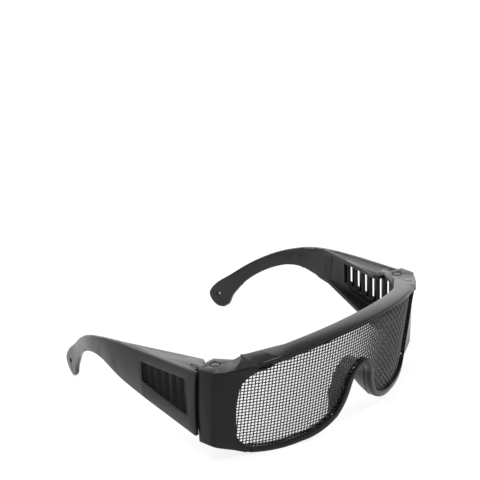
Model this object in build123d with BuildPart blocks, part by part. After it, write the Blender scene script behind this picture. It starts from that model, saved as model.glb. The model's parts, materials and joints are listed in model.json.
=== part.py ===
from build123d import *
import math
import os

os.makedirs("parts", exist_ok=True)

# Mesh safety goggles that go on over glasses. The origin is under their middle as
# they rest on the rim and both temple tips. The wearer looks along -Y, left is +X.

# Overall
overall_height = 59.0
overall_depth = 166.4
overrun = 6.0

# Front shell: an arc across the face, a cheek each side, then a short side
front_radius = 112.0
arc_half_width = 66.0
cheek_half_width = 76.6
cheek_depth = 32.0
side_half_width = 78.0
side_depth = 41.0
cheek_radius = 4.0
shell_wall = 2.0
lens_rake = 9.9
cheek_rake = 2.3
edge_round = 0.6

# Brow shelf, which is crowned across the face
brow_half_width = 65.0
brow_drop = 9.0
shelf_thickness = 2.2
shelf_depth = 10.0
shelf_arc_half_width = 42.0
shelf_arc_depth = 19.1
shelf_flare_half_width = 56.6
shelf_flare_depth = 30.2
brow_end_inner = 58.0
brow_end_depth = 32.0

# Window, rim, and the mesh with its bezel
window_half_width = 66.6
rim_band = 3.2
rim_depth = 4.2
mesh_recess = 2.4
mesh_thickness = 0.6
seat_margin = 1.2
bezel_fit = 0.1
net_pitch = 4.6
net_gap = 3.5

# Nose arch flange
flange_wall = 1.6
flange_inset = 0.3
flange_depth = 12.0
flange_half_width = 17.0
flange_full_drop = 42.0
flange_end_drop = 54.5

# Hinges
pin_half_spread = 69.2
pin_depth = 37.8
pin_radius = 1.4
pin_head_radius = 2.2
pin_head_height = 0.7
pin_seat_fit = 0.02
pin_running_fit = 0.05
counterbore_fit = 0.35
lug_top_drop = 10.3
lug_thickness = 1.5
lug_rear_depth = 43.3
lug_rear_inner = 64.8
lug_rear_outer = 69.0
lower_lug_drop = 46.9
knuckle_radius = 4.0
knuckle_height = 2.75
hinge_gap = 0.35
split_gap = 0.6
split_bow = 0.7
split_lean = 1.9

# Temples
temple_wall = 2.6
temple_half_width = 79.2
tip_half_width = 56.6
temple_top_drop = 12.15
channel_width = 14.6
channel_start = 50.5
channel_corner = 13.0
channel_corner_start = 47.4
channel_nose = 7.6
channel_nose_start = 45.0
channel_end = 96.0
channel_sink = 0.6
channel_wall = 2.2
lanyard_radius = 1.25
lanyard_depth = 160.4
lanyard_drop = 50.8

# Side vents
vent_front = 48.0
vent_rear = 79.0
vent_top_drop = 17.5
vent_front_drop = 37.4
vent_rear_drop = 28.4
vent_recess = 1.0
vent_border = 1.4
border_raise = 1.4
slot_count = 6
blade_thickness = 1.5
blade_angle = 35.0

top = overall_height
front = -overall_depth / 2
side_planes = (1, -1)

# Half outlines, as shares of a half width or a depth and of the height below the brow
window_shares = (
    (0.000, 0.405), (0.065, 0.429), (0.117, 0.495), (0.153, 0.602), (0.186, 0.720),
    (0.246, 0.827), (0.360, 0.898), (0.526, 0.932), (0.706, 0.9457), (0.871, 0.929),
    (0.955, 0.856), (0.988, 0.712), (1.000, 0.508), (0.991, 0.347), (0.949, 0.247),
    (0.848, 0.193), (0.661, 0.141), (0.435, 0.097), (0.218, 0.068), (0.000, 0.058),
)
cheek_foot_shares = ((0.780, 0.975), (0.870, 0.920), (0.950, 0.872), (1.020, 0.822))
temple_top_shares = (
    (0.427, 0.206), (0.571, 0.218), (0.631, 0.238), (0.691, 0.279), (0.751, 0.337),
    (0.811, 0.420), (0.871, 0.531), (0.925, 0.650), (0.962, 0.726), (0.992, 0.817),
)
temple_tip_shares = ((1.000, 0.868), (0.993, 0.935), (0.974, 0.986), (0.952, 1.000), (0.934, 0.972))
temple_foot_shares = (
    (0.922, 0.899), (0.901, 0.805), (0.871, 0.700), (0.841, 0.627), (0.811, 0.570),
    (0.781, 0.524), (0.751, 0.490), (0.721, 0.466), (0.691, 0.459), (0.661, 0.467),
    (0.631, 0.493), (0.601, 0.524), (0.541, 0.575),
)
temple_plan_shares = (
    (1.000, 0.232), (1.003, 0.361), (1.000, 0.571), (0.988, 0.631), (0.965, 0.691),
    (0.924, 0.757), (0.877, 0.811), (0.826, 0.862), (0.781, 0.907), (0.744, 0.952),
    (0.710, 1.012),
)


def sagitta(x, radius):
    return radius - math.sqrt(radius ** 2 - x ** 2)


def rake_at(drop):
    return lens_rake * drop / overall_height


def both_sides(points):
    return [(-x, y) for x, y in reversed(points) if x > 0] + list(points)


def front_profile(plane, arc_shift, cheek_shift, inset, rear):
    """Plan of the front, inset from its outer face and closed across at rear."""
    radius = front_radius - inset
    arc_x = arc_half_width * radius / front_radius
    arc_y = front + arc_shift + inset + sagitta(arc_x, radius)
    cheek_x = cheek_half_width - inset
    cheek_y = front + cheek_shift + cheek_depth + inset / 2
    side_x = side_half_width - inset
    with BuildSketch(plane) as profile:
        with BuildLine():
            ThreePointArc((-arc_x, arc_y), (0, front + arc_shift + inset), (arc_x, arc_y))
            FilletPolyline(
                (arc_x, arc_y), (cheek_x, cheek_y), (side_x, front + rear), radius=cheek_radius
            )
            Line((side_x, front + rear), (-side_x, front + rear))
            FilletPolyline(
                (-side_x, front + rear), (-cheek_x, cheek_y), (-arc_x, arc_y), radius=cheek_radius
            )
        make_face()
    return profile.sketch


def window_face(grow):
    """Window outline seen from the front, grown square to its edge, as a chain of arcs."""
    half = [(x * window_half_width, top - z * overall_height) for x, z in window_shares]
    loop = [(-x, z) for x, z in reversed(half)] + half[1:-1]
    count = len(loop)
    grown = []
    for k, (x, z) in enumerate(loop):
        back = loop[k - 1]
        ahead = loop[(k + 1) % count]
        run = math.hypot(ahead[0] - back[0], ahead[1] - back[1])
        grown.append(
            (x + grow * (ahead[1] - back[1]) / run, z - grow * (ahead[0] - back[0]) / run)
        )
    with BuildSketch(Plane.XZ) as outline:
        with BuildLine():
            for k in range(0, count, 2):
                ThreePointArc(grown[k], grown[k + 1], grown[(k + 2) % count])
        make_face()
    return outline.sketch


rake_run = Vector(0, lens_rake, -overall_height)


def raked_band(near, far):
    """Curved sheet across the face between two depths behind its outer face."""
    with BuildSketch(Plane.XY.offset(top)) as band:
        with Locations((0, front + front_radius)):
            Circle(front_radius - near)
            Circle(front_radius - far, mode=Mode.SUBTRACT)
            Rectangle(
                2 * cheek_half_width, front_radius, align=(Align.CENTER, Align.MAX), mode=Mode.INTERSECT
            )
    with BuildPart() as sheet:
        extrude(band.sketch, amount=rake_run.length, dir=rake_run)
    return sheet.part


# Solid that fills the front from its outer face back, and its hollow
with BuildPart() as front_fill:
    loft([
        front_profile(Plane.XY.offset(top), 0, 0, 0, side_depth + overrun),
        front_profile(Plane.XY, lens_rake, cheek_rake, 0, side_depth + overrun),
    ], ruled=True)

with BuildPart() as front_hollow:
    loft([
        front_profile(Plane.XY.offset(top), 0, 0, shell_wall, side_depth + 2 * overrun),
        front_profile(Plane.XY, lens_rake, cheek_rake, shell_wall, side_depth + 2 * overrun),
    ], ruled=True)

# Outline of the front seen from ahead: crowned brow, lower rim, and cheeks
foot = [(x * side_half_width, top - z * overall_height) for x, z in cheek_foot_shares]
with BuildSketch(Plane.XZ) as front_outline:
    with BuildLine():
        ThreePointArc(
            (-brow_half_width, top - brow_drop), (0, top), (brow_half_width, top - brow_drop)
        )
        Polyline(
            (brow_half_width, top - brow_drop),
            (brow_half_width, top - lug_top_drop),
            (foot[-1][0], top - lug_top_drop),
            *reversed(foot),
            (shelf_arc_half_width, top / 2),
            (0, top - rim_depth - brow_drop),
            (-shelf_arc_half_width, top / 2),
            *[(-x, z) for x, z in foot],
            (-foot[-1][0], top - lug_top_drop),
            (-brow_half_width, top - lug_top_drop),
            (-brow_half_width, top - brow_drop),
        )
    make_face()
    add(window_face(rim_band))
    with BuildLine():
        ThreePointArc(
            (-brow_half_width, top - brow_drop), (0, top), (brow_half_width, top - brow_drop)
        )
        Polyline(
            (brow_half_width, top - brow_drop),
            (brow_half_width, top + overrun),
            (-brow_half_width, top + overrun),
            (-brow_half_width, top - brow_drop),
        )
    make_face(mode=Mode.SUBTRACT)

# Plan of everything ahead of the rear edges of the brow shelf and hinge lugs
with BuildSketch(Plane.XY) as shelf_plan:
    with BuildLine():
        ThreePointArc(
            (-shelf_arc_half_width, front + shelf_arc_depth),
            (0, front + shelf_depth),
            (shelf_arc_half_width, front + shelf_arc_depth),
        )
        Polyline(
            (shelf_arc_half_width, front + shelf_arc_depth),
            (shelf_flare_half_width, front + shelf_flare_depth),
            (lug_rear_inner, front + lug_rear_depth),
            (lug_rear_outer, front + lug_rear_depth),
            (side_half_width, front + side_depth),
            (side_half_width, front - overrun),
            (-side_half_width, front - overrun),
            (-side_half_width, front + side_depth),
            (-lug_rear_outer, front + lug_rear_depth),
            (-lug_rear_inner, front + lug_rear_depth),
            (-shelf_flare_half_width, front + shelf_flare_depth),
            (-shelf_arc_half_width, front + shelf_arc_depth),
        )
    make_face()

# Brow shelf: the crowned band of the filled front, footed on the lugs at its ends
with BuildSketch(Plane.XZ) as brow_section:
    with BuildLine():
        ThreePointArc(
            (-brow_half_width, top - brow_drop), (0, top), (brow_half_width, top - brow_drop)
        )
        Line((brow_half_width, top - brow_drop), (brow_half_width, top - brow_drop - shelf_thickness))
        ThreePointArc(
            (brow_half_width, top - brow_drop - shelf_thickness),
            (0, top - shelf_thickness),
            (-brow_half_width, top - brow_drop - shelf_thickness),
        )
        Line((-brow_half_width, top - brow_drop - shelf_thickness), (-brow_half_width, top - brow_drop))
    make_face()
    with Locations(*[(s * brow_half_width, top - brow_drop - shelf_thickness) for s in side_planes]):
        Rectangle(
            2 * (brow_half_width - brow_end_inner),
            2 * (lug_top_drop + lug_thickness - brow_drop - shelf_thickness),
        )

with BuildSketch(Plane.XY) as brow_plan:
    with BuildLine():
        ThreePointArc(
            (-shelf_arc_half_width, front + shelf_arc_depth),
            (0, front + shelf_depth),
            (shelf_arc_half_width, front + shelf_arc_depth),
        )
        Polyline(
            (shelf_arc_half_width, front + shelf_arc_depth),
            (shelf_flare_half_width, front + shelf_flare_depth),
            (brow_end_inner, front + brow_end_depth),
            (brow_half_width, front + sagitta(brow_half_width, front_radius)),
            (brow_half_width, front - overrun),
            (-brow_half_width, front - overrun),
            (-brow_half_width, front + sagitta(brow_half_width, front_radius)),
            (-brow_end_inner, front + brow_end_depth),
            (-shelf_flare_half_width, front + shelf_flare_depth),
            (-shelf_arc_half_width, front + shelf_arc_depth),
        )
    make_face()

with BuildPart() as brow_shelf:
    add(front_fill.part)
    extrude(brow_section.sketch, amount=overall_depth, mode=Mode.INTERSECT)
    extrude(brow_plan.sketch, amount=2 * top, mode=Mode.INTERSECT)

# Upper lugs fill each cheek at the level of the hinge
with BuildSketch(Plane.XY.offset(top - lug_top_drop - lug_thickness)) as lug_area:
    with Locations(*[(s * side_half_width, front + cheek_depth) for s in side_planes]):
        Rectangle(2 * (side_half_width - shelf_flare_half_width), 2 * cheek_depth)

with BuildPart() as upper_lugs:
    add(front_fill.part)
    extrude(shelf_plan.sketch, amount=2 * top, mode=Mode.INTERSECT)
    extrude(lug_area.sketch, amount=lug_thickness, mode=Mode.INTERSECT)

# Lower lugs: a round end about the pin on a web from the cheek
with BuildSketch(Plane.XY.offset(top - lower_lug_drop)) as lower_lug_plan:
    for s in side_planes:
        with Locations((s * pin_half_spread, front + pin_depth)):
            Circle(knuckle_radius)
            Rectangle(2 * knuckle_radius, cheek_depth, align=(Align.CENTER, Align.MAX))

with BuildPart() as lower_lugs:
    add(front_fill.part)
    extrude(lower_lug_plan.sketch, amount=lug_thickness, mode=Mode.INTERSECT)

# Rim behind the outer face, and the nose flange that runs back from its arch
with BuildPart() as rim:
    add(raked_band(shell_wall / 2, rim_depth))
    extrude(window_face(rim_band), amount=overall_depth, mode=Mode.INTERSECT)

with BuildSketch(Plane.YZ) as flange_side:
    with BuildLine():
        Polyline(
            (front + shell_wall, top),
            (front + flange_depth, top),
            (front + flange_depth + rake_at(flange_full_drop), top - flange_full_drop),
            (front + rim_depth + rake_at(flange_end_drop), top - flange_end_drop),
            (front + shell_wall + rake_at(flange_end_drop), top - flange_end_drop),
            (front + shell_wall, top),
        )
    make_face()

with BuildSketch(Plane.XZ) as flange_ring:
    add(window_face(rim_band - flange_inset))
    add(window_face(rim_band - flange_inset - flange_wall), mode=Mode.SUBTRACT)
    with Locations((0, top - brow_drop)):
        Rectangle(
            2 * flange_half_width, overall_height, align=(Align.CENTER, Align.MAX), mode=Mode.INTERSECT
        )

with BuildPart() as nose_flange:
    extrude(flange_ring.sketch, amount=overall_depth)
    extrude(flange_side.sketch, amount=flange_half_width, both=True, mode=Mode.INTERSECT)

# Side view of the front as far back as its split with the temples
split_mid_drop = (lug_top_drop + lower_lug_drop) / 2
with BuildSketch(Plane.YZ) as split_side:
    with BuildLine():
        ThreePointArc(
            (front + side_depth, top - lug_top_drop),
            (front + side_depth + split_lean / 2 + split_bow, top - split_mid_drop),
            (front + side_depth + split_lean, top - lower_lug_drop),
        )
        Polyline(
            (front + side_depth + split_lean, top - lower_lug_drop),
            (front + side_depth + split_lean, -overrun),
            (front - overrun, -overrun),
            (front - overrun, top - lug_top_drop),
            (front + side_depth, top - lug_top_drop),
        )
    make_face()

# Pocket behind the window lip for the mesh and its bezel
with BuildPart() as seat:
    add(raked_band(mesh_recess, rim_depth + overrun))
    extrude(window_face(seat_margin), amount=overall_depth, mode=Mode.INTERSECT)

# Front frame: one moulding of shell, brow shelf, lugs, rim and nose flange
with BuildPart() as front_frame:
    add(front_fill.part)
    add(front_hollow.part, mode=Mode.SUBTRACT)
    extrude(split_side.sketch, amount=overall_depth, both=True, mode=Mode.INTERSECT)
    extrude(front_outline.sketch, amount=overall_depth, mode=Mode.INTERSECT)
    add(brow_shelf.part)
    add(upper_lugs.part)
    add(lower_lugs.part)
    add(rim.part)
    add(nose_flange.part)
    extrude(window_face(0), amount=overall_depth, mode=Mode.SUBTRACT)
    add(seat.part, mode=Mode.SUBTRACT)
    with BuildSketch(Plane.XY.offset(top - lug_top_drop - lug_thickness)):
        with Locations(*[(s * pin_half_spread, front + pin_depth) for s in side_planes]):
            Circle(knuckle_radius + hinge_gap)
    extrude(amount=lug_top_drop + 2 * lug_thickness - lower_lug_drop, mode=Mode.SUBTRACT)
    with BuildSketch(Plane.XY.offset(top - lug_top_drop)):
        with Locations(*[(s * pin_half_spread, front + pin_depth) for s in side_planes]):
            Circle(pin_radius + pin_seat_fit)
    extrude(amount=-overall_height, mode=Mode.SUBTRACT)
    with BuildSketch(Plane.XY.offset(top - lug_top_drop)):
        with Locations(*[(s * pin_half_spread, front + pin_depth) for s in side_planes]):
            Circle(pin_head_radius + counterbore_fit)
    extrude(amount=-pin_head_height, mode=Mode.SUBTRACT)
    with BuildSketch(Plane.XY.offset(top - lower_lug_drop)):
        with Locations(*[(s * pin_half_spread, front + pin_depth) for s in side_planes]):
            Circle(pin_head_radius + counterbore_fit)
    extrude(amount=pin_head_height, mode=Mode.SUBTRACT)
front_frame.part.label = "front_frame"

# Mesh, drawn as a curved net inside the seat
net_x = math.floor(window_half_width / net_pitch)
net_z = math.floor(overall_height / net_pitch / 2)
net_limit = window_face(-(net_pitch - net_gap) / 2).faces()[0]
net_centres = [
    (i * net_pitch, top / 2 + (k + 0.25) * net_pitch)
    for i in range(-net_x, net_x + 1)
    for k in range(-net_z, net_z + 1)
    if all(
        net_limit.is_inside(Vector(i * net_pitch + u * net_gap / 2, 0, top / 2 + (k + 0.25) * net_pitch + v * net_gap / 2))
        for u in side_planes
        for v in side_planes
    )
]
print("gaps", len(net_centres))
with BuildSketch(Plane.XZ) as net:
    add(window_face(seat_margin - bezel_fit))
    with Locations(*net_centres):
        Rectangle(net_gap, net_gap, mode=Mode.SUBTRACT)
with BuildPart() as mesh_lens:
    extrude(net.sketch, amount=overall_depth)
    add(raked_band(mesh_recess, mesh_recess + mesh_thickness), mode=Mode.INTERSECT)
mesh_lens.part.label = "mesh_lens"

# Bezel that holds the mesh in its seat
with BuildPart() as mesh_bezel:
    add(raked_band(mesh_recess + mesh_thickness, rim_depth))
    extrude(window_face(seat_margin - bezel_fit), amount=overall_depth, mode=Mode.INTERSECT)
    extrude(window_face(-bezel_fit), amount=overall_depth, mode=Mode.SUBTRACT)
    with BuildSketch(Plane.XY):
        with Locations(*[(s * pin_half_spread, front + pin_depth) for s in side_planes]):
            Circle(knuckle_radius + hinge_gap)
    extrude(amount=top, mode=Mode.SUBTRACT)
mesh_bezel.part.label = "mesh_bezel"

# Hinge pins, one above and one below on each side
with BuildPart() as upper_pin:
    with BuildSketch(Plane.XY.offset(top - lug_top_drop - pin_head_height)):
        Circle(pin_head_radius)
    extrude(amount=pin_head_height)
    with BuildSketch(Plane.XY.offset(top - lug_top_drop - pin_head_height)):
        Circle(pin_radius)
    extrude(amount=-(temple_top_drop + knuckle_height + hinge_gap - lug_top_drop - pin_head_height))
    with BuildSketch(Plane.XY.offset(top - temple_top_drop - knuckle_height - hinge_gap)):
        Circle(pin_head_radius)
    extrude(amount=-pin_head_height)

lower_knuckle_drop = lower_lug_drop - lug_thickness - hinge_gap
with BuildPart() as hinge_pins:
    with Locations(*[(s * pin_half_spread, front + pin_depth) for s in side_planes]):
        add(upper_pin.part)
    with Locations(*[
        (s * pin_half_spread, front + pin_depth, 2 * top - lug_top_drop - lower_lug_drop)
        for s in side_planes
    ]):
        add(upper_pin.part.rotate(Axis.X, 180))
hinge_pins.part.label = "hinge_pins"

# Temple seen from the side, from the split back to the drooped tip
split_top = front + side_depth + split_gap
temple_foot_drop = lower_lug_drop - hinge_gap
foot_end = (
    front + temple_foot_shares[-1][0] * overall_depth,
    top - temple_foot_shares[-1][1] * overall_height,
)
foot_start = (split_top + split_lean, top - temple_foot_drop)
with BuildSketch(Plane.YZ) as temple_side:
    with BuildLine():
        Spline(
            *[(front + y * overall_depth, top - z * overall_height)
              for y, z in temple_top_shares + temple_tip_shares + temple_foot_shares]
        )
        Line(foot_end, foot_start)
        ThreePointArc(
            foot_start,
            (split_top + split_lean / 2 + split_bow, top - split_mid_drop),
            (split_top, top - temple_top_drop),
        )
        Line(
            (split_top, top - temple_top_drop),
            (front + temple_top_shares[0][0] * overall_depth,
             top - temple_top_shares[0][1] * overall_height),
        )
    make_face()

# Plan of the side wall, which turns in towards the head behind the ear
plan = [(x * temple_half_width, front + y * overall_depth) for x, y in temple_plan_shares]
with BuildSketch(Plane.XY) as temple_plan:
    with BuildLine():
        Spline(*plan)
        Line(plan[-1], (plan[-1][0] - temple_wall, plan[-1][1]))
        Spline(*[(x - temple_wall, y) for x, y in reversed(plan)])
        Line((plan[0][0] - temple_wall, plan[0][1]), plan[0])
    make_face()

# Channel flanges, widest at the hinge and run out where the wall starts to droop
channel_inner = temple_half_width - channel_width
wall_middle = temple_half_width - temple_wall / 2
with BuildSketch(Plane.XY) as channel_plan:
    with BuildLine():
        Polyline(
            (channel_inner, front + channel_start),
            (temple_half_width - channel_corner, front + channel_corner_start),
            (temple_half_width - channel_nose, front + channel_nose_start),
            (wall_middle, front + channel_nose_start),
            (wall_middle, front + channel_end),
            (temple_half_width - temple_wall, front + channel_end),
            (channel_inner, front + channel_start),
        )
    make_face()

foot_slope = (foot_end[1] - foot_start[1]) / (foot_end[0] - foot_start[0])
foot_rise = (front + channel_end - foot_start[0]) * foot_slope
with BuildSketch(Plane.YZ) as foot_side:
    with BuildLine():
        Polyline(
            (foot_start[0], foot_start[1] + channel_sink),
            (front + channel_end, foot_start[1] + channel_sink + foot_rise),
            (front + channel_end, foot_start[1] + channel_sink + channel_wall + foot_rise),
            (foot_start[0], foot_start[1] + channel_sink + channel_wall),
            (foot_start[0], foot_start[1] + channel_sink),
        )
    make_face()

with BuildPart() as lower_channel:
    extrude(foot_side.sketch, amount=temple_half_width)
    extrude(channel_plan.sketch, amount=top, mode=Mode.INTERSECT)

# Knuckle plan: a round end about the pin and a neck back into the channel flange
with BuildSketch(Plane.XY) as knuckle_plan:
    with Locations((pin_half_spread, front + pin_depth)):
        Circle(knuckle_radius)
        Rectangle(knuckle_radius, channel_start - pin_depth, align=(Align.MIN, Align.MIN))
        Circle(pin_radius + pin_running_fit, mode=Mode.SUBTRACT)

# Side vent: an opening in the wall, a raised border inside it, and angled blades
vent_points = (
    (front + vent_front, top - vent_top_drop),
    (front + vent_rear, top - vent_top_drop),
    (front + vent_rear, top - vent_rear_drop),
    (front + vent_front, top - vent_front_drop),
)
with BuildSketch(Plane.YZ) as vent_opening:
    with BuildLine():
        Polyline(*vent_points, vent_points[0])
    make_face()

blade_outer = temple_half_width - vent_recess
blade_inner = temple_half_width - temple_wall - border_raise
blade_step = (blade_outer - blade_inner) / math.tan(math.radians(blade_angle))
blade_width = blade_thickness / math.sin(math.radians(blade_angle))
slot_pitch = (vent_rear - vent_front) / slot_count
with BuildSketch(Plane.XY.offset(top - vent_front_drop - vent_border)) as blade_plan:
    for k in range(slot_count + 1):
        blade_y = front + vent_front + k * slot_pitch
        with BuildLine():
            Polyline(
                (blade_outer, blade_y),
                (blade_outer, blade_y + blade_width),
                (blade_inner, blade_y + blade_width - blade_step),
                (blade_inner, blade_y - blade_step),
                (blade_outer, blade_y),
            )
        make_face()

with BuildPart() as vent_blades:
    extrude(blade_plan.sketch, amount=vent_front_drop - vent_top_drop + 2 * vent_border)
    with BuildSketch(Plane.YZ):
        with BuildLine():
            Polyline(*vent_points, vent_points[0])
        make_face()
        offset(amount=vent_border / 2)
    extrude(amount=temple_half_width + overrun, mode=Mode.INTERSECT)

with BuildPart() as left_temple:
    extrude(temple_side.sketch, amount=temple_half_width + overrun)
    extrude(temple_plan.sketch, amount=2 * top, mode=Mode.INTERSECT)
    with BuildSketch(Plane.YZ.offset(blade_inner)):
        with BuildLine():
            Polyline(*vent_points, vent_points[0])
        make_face()
        offset(amount=vent_border)
    extrude(amount=wall_middle - blade_inner)
    extrude(vent_opening.sketch, amount=temple_half_width + overrun, mode=Mode.SUBTRACT)
    add(vent_blades.part)
    with BuildSketch(Plane.XY.offset(top - temple_top_drop - channel_sink - channel_wall)):
        add(channel_plan.sketch)
    extrude(amount=channel_wall)
    add(lower_channel.part)
    with BuildSketch(Plane.XY.offset(top - temple_top_drop - knuckle_height)):
        add(knuckle_plan.sketch)
    extrude(amount=knuckle_height)
    with BuildSketch(Plane.XY.offset(top - lower_knuckle_drop)):
        add(knuckle_plan.sketch)
    extrude(amount=knuckle_height)
    with BuildSketch(Plane.YZ):
        with Locations((front + lanyard_depth, top - lanyard_drop)):
            Circle(lanyard_radius)
    extrude(amount=temple_half_width + overrun, mode=Mode.SUBTRACT)
left_temple.part.label = "left_temple"

with BuildPart() as right_temple:
    mirror(left_temple.part, about=Plane.YZ)
right_temple.part.label = "right_temple"

export_step(front_frame.part, "parts/front_frame.step")
export_step(mesh_lens.part, "parts/mesh_lens.step")
export_step(mesh_bezel.part, "parts/mesh_bezel.step")
export_step(hinge_pins.part, "parts/hinge_pins.step")
export_step(left_temple.part, "parts/left_temple.step")
export_step(right_temple.part, "parts/right_temple.step")
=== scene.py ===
"""Mesh safety goggles: moulded black frame, folding vented temples and a woven wire window."""

import json
import math

import bpy
import numpy as np
from mathutils import Matrix, Vector

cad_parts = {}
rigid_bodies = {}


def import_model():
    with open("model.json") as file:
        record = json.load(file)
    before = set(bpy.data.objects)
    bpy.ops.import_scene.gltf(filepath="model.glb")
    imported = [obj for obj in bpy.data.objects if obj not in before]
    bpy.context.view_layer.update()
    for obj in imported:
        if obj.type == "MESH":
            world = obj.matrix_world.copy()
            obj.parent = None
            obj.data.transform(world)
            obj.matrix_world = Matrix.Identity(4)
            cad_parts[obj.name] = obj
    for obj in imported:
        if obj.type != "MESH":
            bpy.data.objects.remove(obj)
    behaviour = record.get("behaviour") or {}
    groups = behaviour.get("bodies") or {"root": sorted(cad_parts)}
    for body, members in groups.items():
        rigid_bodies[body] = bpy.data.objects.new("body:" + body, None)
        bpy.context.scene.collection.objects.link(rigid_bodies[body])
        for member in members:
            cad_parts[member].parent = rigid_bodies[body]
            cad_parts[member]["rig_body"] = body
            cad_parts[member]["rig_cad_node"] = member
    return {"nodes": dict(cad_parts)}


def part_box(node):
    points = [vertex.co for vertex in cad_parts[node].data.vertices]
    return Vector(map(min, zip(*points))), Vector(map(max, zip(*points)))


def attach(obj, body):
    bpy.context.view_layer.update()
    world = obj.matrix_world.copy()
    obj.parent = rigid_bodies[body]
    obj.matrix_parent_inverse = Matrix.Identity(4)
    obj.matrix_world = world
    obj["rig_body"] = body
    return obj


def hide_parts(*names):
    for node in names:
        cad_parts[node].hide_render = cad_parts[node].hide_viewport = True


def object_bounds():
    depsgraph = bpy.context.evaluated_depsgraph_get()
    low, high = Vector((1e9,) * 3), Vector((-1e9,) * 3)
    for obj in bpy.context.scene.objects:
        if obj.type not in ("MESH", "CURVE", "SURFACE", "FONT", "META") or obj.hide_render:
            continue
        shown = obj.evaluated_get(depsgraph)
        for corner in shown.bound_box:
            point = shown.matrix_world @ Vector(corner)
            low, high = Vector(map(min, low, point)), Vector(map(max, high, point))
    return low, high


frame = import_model()
cad_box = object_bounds()

MM = 0.001

# The front frame's top and the brow's front, from which places are measured
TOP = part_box("front_frame")[1].z
FRONT = cad_box[0][1]

# Woven window: round wire, woven one over one, then bent round the face and raked back
FRONT_RADIUS = 112 * MM
LENS_RAKE = 9.9 * MM
WIRE_DEPTH = 2.75 * MM
WIRE_RADIUS = 0.315 * MM
WIRE_SIDES = 5
WIRE_CUTS = 3
WIRE_MERGE = WIRE_RADIUS / 10
WIRE_PITCH = 1.7 * MM
WEAVE_PERIOD = 2 * WIRE_PITCH
WIRE_TUCK = 0.6 * MM
WINDOW_HALF_WIDTH = 66.6 * MM
ACROSS, UP = 0, 2

# Half of the window's outline, as shares of its half width and of the frame's height from the top
WINDOW_SHARES = (
    (0.000, 0.405), (0.065, 0.429), (0.117, 0.495), (0.153, 0.602), (0.186, 0.720),
    (0.246, 0.827), (0.360, 0.898), (0.526, 0.932), (0.706, 0.9457), (0.871, 0.929),
    (0.955, 0.856), (0.988, 0.712), (1.000, 0.508), (0.991, 0.347), (0.949, 0.247),
    (0.848, 0.193), (0.661, 0.141), (0.435, 0.097), (0.218, 0.068), (0.000, 0.058),
)
OUTLINE_STEPS = 6
LEVEL_RISE = 1e-12

# Places below are in mm: across from the middle, depth from the brow's front and drop from the top.
# Brow: how far its long edge reaches, where its lugs start, and the block that blends it into them
BROW_REACH, BROW_DROP = 56, 8.0
LUG_DEPTH, LUG_DROP = 15, 16
BLEND_CORNERS = {
    ("inner", "front"): (60.0, 18.4, 7.8), ("inner", "rear"): (58.5, 31.4, 7.6),
    ("outer", "front"): (72.5, 28.4, 10.4), ("outer", "rear"): (71.0, 34.6, 10.4),
}
BLEND_FOOT_DROP = 11.2

# Temple: the middle of its wall, its channel's run-out, the turn of its droop, its hole and vent
TEMPLE_WALL_MIDDLE = 77.9
CHANNEL_END, RUN_OUT = 96, 5
TEMPLE_TURN = (104, 138)
LANYARD_HOLE, HOLE_ZONE = (160.4, 50.8), 2
VENT_ENDS = (47.9, 79.1)
VENT_TOP = 17.4
VENT_FEET = (37.5, 28.5)
VENT_FACE = 78.9
VENT_MARGIN = 1

# Closing lip and its web, in a temple's front edge
LIP_ACROSS, LIP_ALONG = (74.2, 75.4), (39.2, 46.5)
WEB_ACROSS, WEB_ALONG = (75.2, 76.8), (44.8, 46.5)
LIP_DROPS = (44.0, 15.6)

# Eased edges: each piece's full radius, and the share of it that finer edges get
FRONT_EASE = 0.9 * MM
TEMPLE_EASE = 0.85 * MM
BEZEL_EASE = 0.15 * MM
PIN_EASE = 0.2 * MM
LIP_EASE = 0.2 * MM
DETAIL_SHARE = 0.5
SMALL_SHARE = 0.18
EASE_SEGMENTS = 2
SHARP_ANGLE = math.radians(35)
SMOOTH_ANGLE = math.radians(32)
FLAT_ANGLE = math.radians(0.6)
CAD_MERGE = 0.001 * MM
BLEND_MERGE = 0.03 * MM

# Finishes: the size of each pattern, with the grain drawn coarser than it is, and its variation
PLASTIC_FLOW = 22 * MM
PLASTIC_TONE_BAND = (0.3, 0.75)
PLASTIC_ROUGHNESS_BAND = (-0.04, 0.05)
PLASTIC_IOR = 1.5
GRAIN_STRENGTH = 0.12
GRAIN_RELIEF = 0.04 * MM
FINE_GRAIN = 0.25 * MM
COARSE_GRAIN = 0.4 * MM
COAT_PATCH = 0.8 * MM
COAT_TONE_BAND = (0.35, 0.7)
COAT_METALLIC = 0.4

# Studio: a card and a surround that the eye sees whiter than the light they give the goggles
FLOOR_SIZE = 2.6
CARD_ROUGHNESS = 0.9
CARD_GLOW_SHARE = 0.85
SURROUND_LIGHT, SURROUND_SEEN = 0.35, 1.0
LAMP_TARGET = (0, 0, 0.03)


def linear(colour):
    """Linear red, green, blue and alpha of an sRGB hex value."""
    parts = [int(colour[k:k + 2], 16) / 255 for k in (1, 3, 5)]
    return tuple(
        v / 12.92 if v <= 0.04045 else ((v + 0.055) / 1.055) ** 2.4 for v in parts
    ) + (1.0,)


def add_node(tree, kind, settings=None, links=None):
    """One node with its settings by name, and its inputs linked from other nodes' outputs."""
    node = tree.nodes.new(kind)
    for key, value in (settings or {}).items():
        if isinstance(key, str) and hasattr(node, key):
            setattr(node, key, value)
        else:
            node.inputs[key].default_value = value
    for key, source in (links or {}).items():
        tree.links.new(source, node.inputs[key])
    return node


def new_material(name):
    """A new material with its node tree and its Principled shader."""
    material = bpy.data.materials.new(name)
    material.use_nodes = True
    tree = material.node_tree
    return material, tree, tree.nodes["Principled BSDF"]


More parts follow.
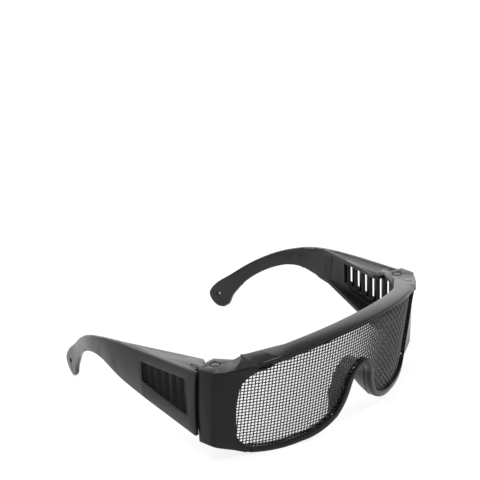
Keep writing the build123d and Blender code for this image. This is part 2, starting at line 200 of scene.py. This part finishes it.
def mottle(tree, place, size, detail, tones, band, shader):
    """A base colour that drifts between two close tones over a real size."""
    drift = add_node(tree, "ShaderNodeTexNoise", {"Scale": 1 / size, "Detail": detail},
                     {"Vector": place.outputs["Object"]})
    tone = add_node(tree, "ShaderNodeValToRGB", None, {"Fac": drift.outputs["Fac"]})
    for stop, position, colour in zip(tone.color_ramp.elements, band, tones):
        stop.position = position
        stop.color = linear(colour)
    tree.links.new(tone.outputs["Color"], shader.inputs["Base Color"])


def moulded_plastic(name, tones, roughness, grain, gleam):
    """Black moulded plastic. The eye gets a deep, slightly uneven black, edges that catch the light,
    and a grain that keeps its reflections soft. A mould's grain is finer than a pixel, so it is drawn
    coarser than it is."""
    material, tree, shader = new_material(name)
    place = add_node(tree, "ShaderNodeTexCoord")
    mottle(tree, place, PLASTIC_FLOW, 3.0, tones, PLASTIC_TONE_BAND, shader)
    pores = add_node(tree, "ShaderNodeTexNoise", {"Scale": 1 / grain, "Detail": 2.0},
                     {"Vector": place.outputs["Object"]})
    smoother, rougher = (roughness + change for change in PLASTIC_ROUGHNESS_BAND)
    gloss = add_node(tree, "ShaderNodeMapRange", {"To Min": smoother, "To Max": rougher},
                     {"Value": pores.outputs["Fac"]})
    relief = add_node(tree, "ShaderNodeBump",
                      {"Strength": GRAIN_STRENGTH, "Distance": GRAIN_RELIEF},
                      {"Height": pores.outputs["Fac"]})
    tree.links.new(gloss.outputs["Result"], shader.inputs["Roughness"])
    tree.links.new(relief.outputs["Normal"], shader.inputs["Normal"])
    shader.inputs["IOR"].default_value = PLASTIC_IOR
    shader.inputs["Specular IOR Level"].default_value = gleam
    return material


def coated_steel(name, tones, roughness):
    """Steel under a thin black coat, a little uneven, that gives small greyish glints."""
    material, tree, shader = new_material(name)
    place = add_node(tree, "ShaderNodeTexCoord")
    mottle(tree, place, COAT_PATCH, 2.0, tones, COAT_TONE_BAND, shader)
    shader.inputs["Roughness"].default_value = roughness
    shader.inputs["Metallic"].default_value = COAT_METALLIC
    return material


def what_the_eye_sees(tree):
    """1 for rays from the camera, through a clear surface or off a glossy one, and 0 for the rest."""
    path = add_node(tree, "ShaderNodeLightPath")
    direct = add_node(
        tree, "ShaderNodeMath", {"operation": "MAXIMUM"},
        {0: path.outputs["Is Camera Ray"], 1: path.outputs["Is Transmission Ray"]})
    rays = add_node(tree, "ShaderNodeMath", {"operation": "MAXIMUM"},
                    {0: direct.outputs["Value"], 1: path.outputs["Is Glossy Ray"]})
    return rays.outputs["Value"]


def edit():
    bpy.ops.object.mode_set(mode="EDIT")


def leave_edit():
    bpy.ops.object.mode_set(mode="OBJECT")


def deselect():
    if bpy.context.object and bpy.context.object.mode != "OBJECT":
        leave_edit()
    bpy.ops.object.select_all(action="DESELECT")


def pick(piece):
    deselect()
    piece.select_set(True)
    bpy.context.view_layer.objects.active = piece


def apply_modifiers(piece):
    pick(piece)
    for modifier in list(piece.modifiers):
        bpy.ops.object.modifier_apply(modifier=modifier.name)


def place_in_mesh():
    """Puts the new piece's place, turn and size into its mesh."""
    bpy.ops.object.transform_apply(location=True, rotation=True, scale=True)


def joined(piece, parts):
    """Parts made one with a piece."""
    deselect()
    for part in (piece, *parts):
        part.select_set(True)
    bpy.context.view_layer.objects.active = piece
    bpy.ops.object.join()
    return piece


def paint(piece, material):
    piece.data.materials.clear()
    piece.data.materials.append(material)


def measures(point):
    """A point's place across from the middle, in depth and in drop, in mm."""
    return abs(point.x) / MM, (point.y - FRONT) / MM, (TOP - point.z) / MM


def window_outline():
    """The window seen from the front, as a closed smooth line through the shares."""
    half = [(x * WINDOW_HALF_WIDTH, TOP * (1 - z)) for x, z in WINDOW_SHARES]
    loop = [(-x, z) for x, z in reversed(half)] + half[1:-1]
    count = len(loop)
    smooth = []
    for k in range(count):
        a, b, c, d = (np.array(loop[(k + j) % count]) for j in (-1, 0, 1, 2))
        for t in np.linspace(0, 1, OUTLINE_STEPS, endpoint=False):
            smooth.append(0.5 * (2 * b + (c - a) * t + (2 * a - 5 * b + 4 * c - d) * t ** 2
                                 + (3 * b - a - 3 * c + d) * t ** 3))
    return np.array(smooth)


def within(points, outline, grow):
    """Which points lie inside the outline grown by a length."""
    x, z = points[:, 0], points[:, 1]
    crossings = np.zeros(len(points), int)
    nearest = np.full(len(points), np.inf)
    for a, b in zip(outline, np.roll(outline, -1, 0)):
        run = b - a
        rise = run[1] if abs(run[1]) > LEVEL_RISE else LEVEL_RISE
        spans = (a[1] > z) != (b[1] > z)
        crossings += spans & (x < a[0] + (z - a[1]) * run[0] / rise)
        t = np.clip(((points - a) @ run) / (run @ run), 0, 1)
        nearest = np.minimum(nearest, np.hypot(*(points - a - t[:, None] * run).T))
    return (crossings % 2 == 1) | (nearest < grow)


def wavy_wire(axis, phase):
    """One period of woven wire across or up the window, which starts high or low."""
    deselect()
    bpy.ops.mesh.primitive_cylinder_add(
        vertices=WIRE_SIDES, radius=WIRE_RADIUS, depth=WEAVE_PERIOD, end_fill_type="NOTHING",
        rotation=(0, math.pi / 2, 0) if axis == ACROSS else (0, 0, 0)
    )
    wire = bpy.context.object
    place_in_mesh()
    edit()
    bpy.ops.mesh.select_all(action="DESELECT")
    leave_edit()
    for edge in wire.data.edges:
        a, b = (wire.data.vertices[v].co[axis] for v in edge.vertices)
        edge.select = abs(a - b) > WIRE_PITCH
    edit()
    bpy.ops.mesh.select_mode(type="EDGE")
    bpy.ops.mesh.subdivide(number_cuts=WIRE_CUTS)
    leave_edit()
    for vertex in wire.data.vertices:
        vertex.co.y += phase * WIRE_RADIUS * math.cos(math.tau * vertex.co[axis] / WEAVE_PERIOD)
    return wire


def repeat_wire(wire, axis, length, side):
    """Runs a wire out to its length, then lays copies of it at every second place."""
    for way, reach in ((axis, length), (UP - axis, side)):
        modifier = wire.modifiers.new("Run", "ARRAY")
        modifier.count = int(reach / WEAVE_PERIOD) + 1
        modifier.use_relative_offset = False
        modifier.use_constant_offset = True
        modifier.constant_offset_displace = [WEAVE_PERIOD if k == way else 0 for k in range(3)]
        modifier.use_merge_vertices = way == axis
        modifier.merge_threshold = WIRE_MERGE
    apply_modifiers(wire)


def flat_net():
    """Two sets of wires up and two across, woven one over one."""
    reach = 2 * FRONT_RADIUS * math.asin((WINDOW_HALF_WIDTH + WIRE_TUCK) / FRONT_RADIUS)
    columns = int(reach / WEAVE_PERIOD) + 1
    wires = []
    for axis, step, phase in ((UP, 0, 1), (UP, 1, -1), (ACROSS, 0, -1), (ACROSS, 1, 1)):
        wire = wavy_wire(axis, phase)
        length, side = (reach, TOP) if axis == ACROSS else (TOP, reach)
        repeat_wire(wire, axis, length, side)
        over, up = (1, step) if axis == ACROSS else (step, 1)
        wire.data.transform(Matrix.Translation(
            Vector((-columns * WIRE_PITCH, 0, 0)) + Vector((over * WIRE_PITCH, 0, up * WIRE_PITCH))
        ))
        wires.append(wire)
    return joined(wires[0], wires[1:])


def woven_window():
    """The net bent round the face, raked back and cut to the window."""
    net = flat_net()
    net.name = "woven_window"
    points = np.empty(len(net.data.vertices) * 3)
    net.data.vertices.foreach_get("co", points)
    x, y, z = points.reshape(-1, 3).T
    radius = FRONT_RADIUS - WIRE_DEPTH
    angle, spread = x / radius, radius - y
    depth = FRONT + FRONT_RADIUS - spread * np.cos(angle) + LENS_RAKE * (TOP - z) / TOP
    points = np.stack([spread * np.sin(angle), depth, z], 1)
    net.data.vertices.foreach_set("co", points.ravel())
    net.data.update()
    keep = within(points[:, (0, 2)], window_outline(), WIRE_TUCK)
    pick(net)
    edit()
    bpy.ops.mesh.select_mode(type="VERT")
    bpy.ops.mesh.select_all(action="DESELECT")
    leave_edit()
    net.data.vertices.foreach_set("select", ~keep)
    edit()
    bpy.ops.mesh.delete(type="VERT")
    leave_edit()
    bpy.ops.object.shade_smooth()
    return net


def edge_share(node, middle):
    """How much of the full radius an edge gets: long outer edges all of it, fine detail less, and
    the end of a temple's channel none."""
    across, depth, drop = measures(middle)
    if "temple" in node:
        if abs(depth - CHANNEL_END) < RUN_OUT and across < TEMPLE_WALL_MIDDLE:
            return 0.0
        if math.hypot(depth - LANYARD_HOLE[0], drop - LANYARD_HOLE[1]) < HOLE_ZONE:
            return SMALL_SHARE
        at_vent = (VENT_ENDS[0] - VENT_MARGIN < depth < VENT_ENDS[1] + VENT_MARGIN
                   and VENT_TOP - VENT_MARGIN < drop < VENT_FEET[0] + VENT_MARGIN)
        outer = across > TEMPLE_WALL_MIDDLE and not at_vent
        return 1.0 if outer or TEMPLE_TURN[0] < depth < TEMPLE_TURN[1] else DETAIL_SHARE
    if node == "front_frame":
        if across > BROW_REACH and drop < LUG_DROP and depth > LUG_DEPTH:
            return SMALL_SHARE
        return 1.0 if drop < BROW_DROP and across < BROW_REACH else DETAIL_SHARE
    return 1.0


def blend_brow(piece):
    """Blends each end of the brow shelf down to the lug beside it."""
    for side in (1, -1):
        deselect()
        bpy.ops.mesh.primitive_cube_add(size=1.0)
        block = bpy.context.object
        for vertex in block.data.vertices:
            corner = ("inner" if vertex.co.x < 0 else "outer", "rear" if vertex.co.y > 0 else "front")
            across, depth, drop = BLEND_CORNERS[corner]
            if vertex.co.z < 0:
                drop = BLEND_FOOT_DROP
            vertex.co = (side * across * MM, FRONT + depth * MM, TOP - drop * MM)
        if side < 0:
            edit()
            bpy.ops.mesh.select_all(action="SELECT")
            bpy.ops.mesh.flip_normals()
            leave_edit()
        modifier = piece.modifiers.new("Blend", "BOOLEAN")
        modifier.operation = "UNION"
        modifier.solver = "EXACT"
        modifier.object = block
        apply_modifiers(piece)
        bpy.data.objects.remove(block)


def merge_facets(gap):
    """Merges the active piece's doubles and dissolves the edges that lie flat in its faces."""
    edit()
    bpy.ops.mesh.select_all(action="SELECT")
    bpy.ops.mesh.remove_doubles(threshold=gap)
    bpy.ops.mesh.dissolve_limited(angle_limit=FLAT_ANGLE)
    leave_edit()


def ease_edges(piece, radius, choice):
    """Rounds the edges that stand at an angle, or those that have a weight."""
    bevel = piece.modifiers.new("Ease", "BEVEL")
    bevel.width = radius
    bevel.segments = EASE_SEGMENTS
    bevel.limit_method = choice
    bevel.use_clamp_overlap = False
    apply_modifiers(piece)
    bpy.ops.object.shade_smooth_by_angle(angle=SMOOTH_ANGLE)


def rounded_copy(node, name, radius):
    """A CAD node's shape with its corners eased, as a moulding's are."""
    pick(frame["nodes"][node])
    bpy.ops.object.duplicate()
    piece = bpy.context.object
    piece.name = name
    piece.parent = None
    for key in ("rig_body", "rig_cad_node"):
        if key in piece:
            del piece[key]
    merge_facets(CAD_MERGE)
    if node == "front_frame":
        blend_brow(piece)
        merge_facets(BLEND_MERGE)
    edit()
    bpy.ops.mesh.select_mode(type="EDGE")
    bpy.ops.mesh.select_all(action="DESELECT")
    bpy.ops.mesh.edges_select_sharp(sharpness=SHARP_ANGLE)
    leave_edit()
    weights = piece.data.attributes.new("bevel_weight_edge", "FLOAT", "EDGE")
    for edge in piece.data.edges:
        middle = sum((piece.data.vertices[v].co for v in edge.vertices), Vector()) / 2
        weights.data[edge.index].value = edge_share(node, middle) if edge.select else 0.0
    ease_edges(piece, radius, "WEIGHT")
    return piece


def closing_lip(side, material):
    """A lip and its web inside the temple's front edge, so that no light shows through the split."""
    parts = []
    for across, along in ((LIP_ACROSS, LIP_ALONG), (WEB_ACROSS, WEB_ALONG)):
        x = sorted(side * a * MM for a in across)
        y = [FRONT + a * MM for a in along]
        z = [TOP - a * MM for a in LIP_DROPS]
        low, high = (Vector(corner) for corner in zip(x, y, z))
        deselect()
        bpy.ops.mesh.primitive_cube_add(size=1.0, location=(low + high) / 2)
        part = bpy.context.object
        part.scale = high - low
        place_in_mesh()
        ease_edges(part, LIP_EASE, "ANGLE")
        paint(part, material)
        parts.append(part)
    return parts


def paint_vent_shade(piece, material):
    """The vent's blades and border get their own, coarser finish, whose darker colour is painted
    shade in the vent's recess.
    """
    piece.data.materials.append(material)
    front, rear = VENT_ENDS
    for face in piece.data.polygons:
        across, depth, drop = measures(face.center)
        foot = VENT_FEET[0] + (VENT_FEET[1] - VENT_FEET[0]) * (depth - front) / (rear - front)
        if front < depth < rear and VENT_TOP < drop < foot and across < VENT_FACE:
            face.material_index = 1


# Camera: the photograph's viewpoint, fitted to the goggles, about the middle of the brow's front
AZIMUTH, ELEVATION, ROLL = (math.radians(a) for a in (-45.51, 21.68, -2.38))
SENSOR_WIDTH = 36.0
FOCAL_PIXELS = 1450.12
IMAGE_PIXELS = 480
CAMERA_DISTANCE = 698.42 * MM
CAMERA_SHIFT = (-62.96 * MM, 37.46 * MM)
CLIP_NEAR, CLIP_FAR = 0.01, 20.0
back = Vector((math.sin(AZIMUTH) * math.cos(ELEVATION), -math.cos(AZIMUTH) * math.cos(ELEVATION),
               math.sin(ELEVATION)))
level = Vector((math.cos(AZIMUTH), math.sin(AZIMUTH), 0))
upright = back.cross(level)
right = level * math.cos(ROLL) + upright * math.sin(ROLL)
up = upright * math.cos(ROLL) - level * math.sin(ROLL)
eye = (Vector((0, FRONT, TOP)) + CAMERA_SHIFT[0] * right + CAMERA_SHIFT[1] * up
       + CAMERA_DISTANCE * back)
bpy.ops.object.camera_add(
    location=eye, rotation=Matrix((right, up, back)).transposed().to_euler()
)
camera = bpy.context.object
camera.data.sensor_width = SENSOR_WIDTH
camera.data.lens = FOCAL_PIXELS / IMAGE_PIXELS * SENSOR_WIDTH
camera.data.clip_start = CLIP_NEAR
camera.data.clip_end = CLIP_FAR
bpy.context.scene.camera = camera

# Polycarbonate from a smooth mould: the brow and rim look near black, with soft clear reflections
frame_plastic = moulded_plastic(
    "moulded_polycarbonate_frame", tones=("#0c0c0d", "#131314"),
    roughness=0.24, grain=FINE_GRAIN, gleam=0.2)
# The same plastic on the temples, with more sheen and a paler base colour: the paler colour is
# painted light, so their broad sides read a shade lighter than the frame
temple_plastic = moulded_plastic(
    "moulded_polycarbonate_temple_painted_paler", tones=("#111112", "#191919"),
    roughness=0.25, grain=FINE_GRAIN, gleam=0.38)
# The same from a matt part of the mould: the vent's blades and border stay dull, and their darker
# base colour is painted shade in the vent's recess
vent_plastic_painted_shade = moulded_plastic(
    "moulded_polycarbonate_vent_painted_shade", tones=("#0a0a0b", "#101011"),
    roughness=0.4, grain=FINE_GRAIN, gleam=0.12)
# Nylon: the bezel looks duller and a little coarser than the frame
bezel_plastic = moulded_plastic(
    "moulded_nylon_bezel", tones=("#101011", "#161617"),
    roughness=0.45, grain=COARSE_GRAIN, gleam=0.3)
# Black coated steel wire: a dark grey net, with a faint glint where a wire rises over the next
wire_coat = coated_steel("black_coated_steel_wire", tones=("#2c2c2e", "#454547"), roughness=0.42)
# Blackened steel: the pin heads show as small, slightly paler discs
pin_steel = coated_steel("blackened_steel_pin", tones=("#1f1f20", "#343436"), roughness=0.38)

# Pieces: the net, then each CAD piece's eased copy
window = woven_window()
paint(window, wire_coat)
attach(window, "front")
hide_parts("mesh_lens")

for node, name, body, material, finish, radius in (
    ("front_frame", "front_moulding", "front", frame_plastic, "frame_plastic", FRONT_EASE),
    ("mesh_bezel", "window_bezel", "front", bezel_plastic, "bezel_plastic", BEZEL_EASE),
    ("hinge_pins", "hinge_rivets", "front", pin_steel, "pin_steel", PIN_EASE),
    ("left_temple", "left_temple_moulding", "left_arm", temple_plastic, "temple_plastic",
     TEMPLE_EASE),
    ("right_temple", "right_temple_moulding", "right_arm", temple_plastic, "temple_plastic",
     TEMPLE_EASE),
):
    piece = rounded_copy(node, name, radius)
    paint(piece, material)
    # Temples: the vent's faces take the darker material, painted shade in its recess
    if "temple" in node:
        paint_vent_shade(piece, vent_plastic_painted_shade)
        piece = joined(piece, closing_lip(1 if node == "left_temple" else -1, material))
    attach(piece, body)
    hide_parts(node)

# Floor: pale card that the camera sees as white, with the goggles' soft shadow
deselect()
bpy.ops.mesh.primitive_plane_add(size=FLOOR_SIZE, location=(0, 0, 0))
floor = bpy.context.object
floor.name = "floor"
card, card_tree, card_shader = new_material("white_card")
card_shader.inputs["Base Color"].default_value = linear("#f4f4f4")
card_shader.inputs["Roughness"].default_value = CARD_ROUGHNESS
glow = add_node(card_tree, "ShaderNodeEmission", {"Color": (1, 1, 1, 1), "Strength": 1.0})
share = add_node(card_tree, "ShaderNodeMath", {"operation": "MULTIPLY", 1: CARD_GLOW_SHARE},
                 {0: what_the_eye_sees(card_tree)})
blend = add_node(card_tree, "ShaderNodeMixShader", None, {
    "Fac": share.outputs["Value"], 1: card_shader.outputs["BSDF"], 2: glow.outputs["Emission"]})
card_tree.links.new(blend.outputs["Shader"], card_tree.nodes["Material Output"].inputs["Surface"])
floor.data.materials.append(card)

# Light: an overhead panel, one lamp for each long edge and a panel behind the brow
for name, place, size, power in (
    ("overhead_panel", (-0.22, -0.22, 1.10), 0.5, 9.0),
    ("temple_edge_lamp", (-0.44, 0.78, 0.80), 0.28, 9.0),
    ("brow_edge_lamp", (0.80, -0.44, 0.78), 0.28, 9.0),
    ("back_panel", (0.80, 0.78, 0.46), 0.9, 2.4),
):
    aim = Vector(place) - Vector(LAMP_TARGET)
    bpy.ops.object.light_add(
        type="AREA", location=place, rotation=aim.to_track_quat("Z", "Y").to_euler()
    )
    lamp = bpy.context.object
    lamp.name = name
    lamp.data.size = size
    lamp.data.energy = power

# Surround: white to the eye, and a weaker light on the goggles
world = bpy.data.worlds.new("studio")
bpy.context.scene.world = world
world.use_nodes = True
sky_tree = world.node_tree
sky = sky_tree.nodes["Background"]
strength = add_node(
    sky_tree, "ShaderNodeMapRange", {"To Min": SURROUND_LIGHT, "To Max": SURROUND_SEEN},
    {"Value": what_the_eye_sees(sky_tree)})
sky_tree.links.new(strength.outputs["Result"], sky.inputs["Strength"])
sky.inputs["Color"].default_value = (1, 1, 1, 1)

bpy.context.scene.view_settings.view_transform = "Standard"
